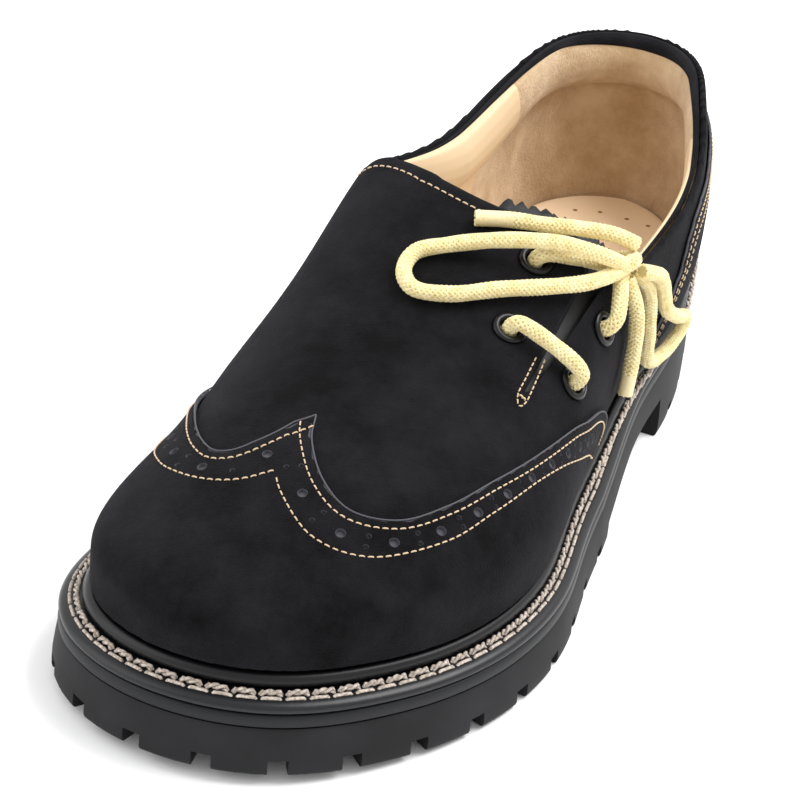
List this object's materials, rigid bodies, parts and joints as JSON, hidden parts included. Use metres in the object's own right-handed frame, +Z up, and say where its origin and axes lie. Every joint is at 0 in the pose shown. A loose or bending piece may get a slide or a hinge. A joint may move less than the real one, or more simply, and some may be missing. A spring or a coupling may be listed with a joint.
{
  "type": "haferl shoe",
  "caption": "Left haferl shoe in black suede with a wing cap, side lacing with a bow of round cord, a stitched welt and a lugged rubber sole.",
  "frame": {"origin": "centre of the shoe's box on the floor", "axes": "+Z up, toe to -Y, heel to +Y, outer side and lacing to +X"},
  "size_m": [0.1136, 0.3068, 0.0937],
  "materials": {
    "black_suede": "napped black suede",
    "black_leather": "smooth black leather, low sheen",
    "black_rubber": "matt moulded rubber",
    "tan_suede": "soft tan suede",
    "pale_leather": "smooth pale leather",
    "black_metal": "black lacquered brass",
    "cream_cord": "round braided cotton cord"
  },
  "bodies": {
    "root": {"outsole": "black_rubber", "midsole": "black_rubber", "welt": "black_leather", "insole": "pale_leather", "upper": "black_suede", "wing_cap": "black_suede", "heel_counter": "black_suede", "rand": "black_leather", "tongue": "black_leather", "collar_padding": "tan_suede", "eyelet_vamp_low": "black_metal", "eyelet_vamp_top": "black_metal", "eyelet_quarter_low": "black_metal", "eyelet_quarter_top": "black_metal", "lace_bar": "cream_cord", "lace_knot": "cream_cord", "lace_leg_vamp": "cream_cord", "lace_leg_quarter": "cream_cord", "lace_left_loop": "cream_cord", "lace_right_loop": "cream_cord", "lace_short_end": "cream_cord", "lace_long_end": "cream_cord"}
  },
  "joints": []
}
